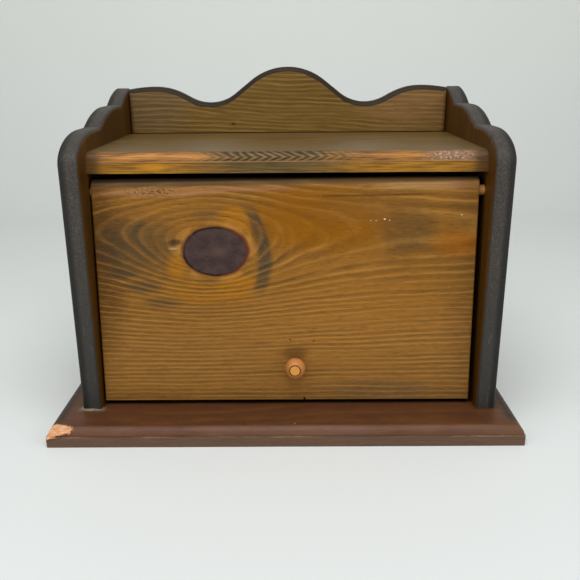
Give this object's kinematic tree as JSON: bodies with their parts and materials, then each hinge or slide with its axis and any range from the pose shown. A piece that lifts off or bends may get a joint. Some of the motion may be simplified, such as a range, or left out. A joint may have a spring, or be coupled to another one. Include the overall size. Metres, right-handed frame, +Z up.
{
  "type": "bread box",
  "caption": "Pine bread box with scrolled sides, a scalloped gallery over a moulded shelf, a moulded base board and a lift-up front door with a turned knob.",
  "frame": {"origin": "bottom centre of the box that holds the whole object, on the surface that the base board stands on", "axes": "+Z up, the front with the door faces -Y, +X to the right as seen from the front"},
  "size_m": [0.451, 0.275, 0.341],
  "materials": {
    "stained_base": "dark reddish brown stain, satin, with nicks",
    "stained_sides": "very dark stain, charcoal on the sawn edges",
    "stained_shelf": "olive-brown stain, golden on the front edge, satin",
    "stained_gallery": "olive-brown stain, dark burnished edges",
    "stained_door": "golden-brown stained pine with a large dark knot, satin",
    "plain_dowel": "lightly finished birch dowel",
    "turned_bead": "turned bead, orange, satin",
    "bright_steel": "zinc-plated slotted screws",
    "dull_steel": "dull finishing nails and brads"
  },
  "bodies": {
    "case": {"base_board": "stained_base", "side_left": "stained_sides", "side_right": "stained_sides", "top_shelf": "stained_shelf", "back_gallery": "stained_gallery", "back_board": "stained_sides", "door_stop": "stained_sides", "base_screws": "bright_steel", "shelf_nails": "dull_steel", "gallery_nails": "dull_steel", "back_nails": "dull_steel", "stop_brads": "dull_steel"},
    "door": {"front_door": "stained_door", "door_pin_left": "plain_dowel", "door_pin_right": "plain_dowel", "door_knob": "turned_bead", "knob_dowel": "plain_dowel"}
  },
  "joints": [
    {"name": "door_lift", "type": "hinge", "parent": "case", "child": "door", "pos_m": [0, -0.063, 0.2295], "axis": [-1, 0, 0], "range_deg": [0, 118]}
  ]
}
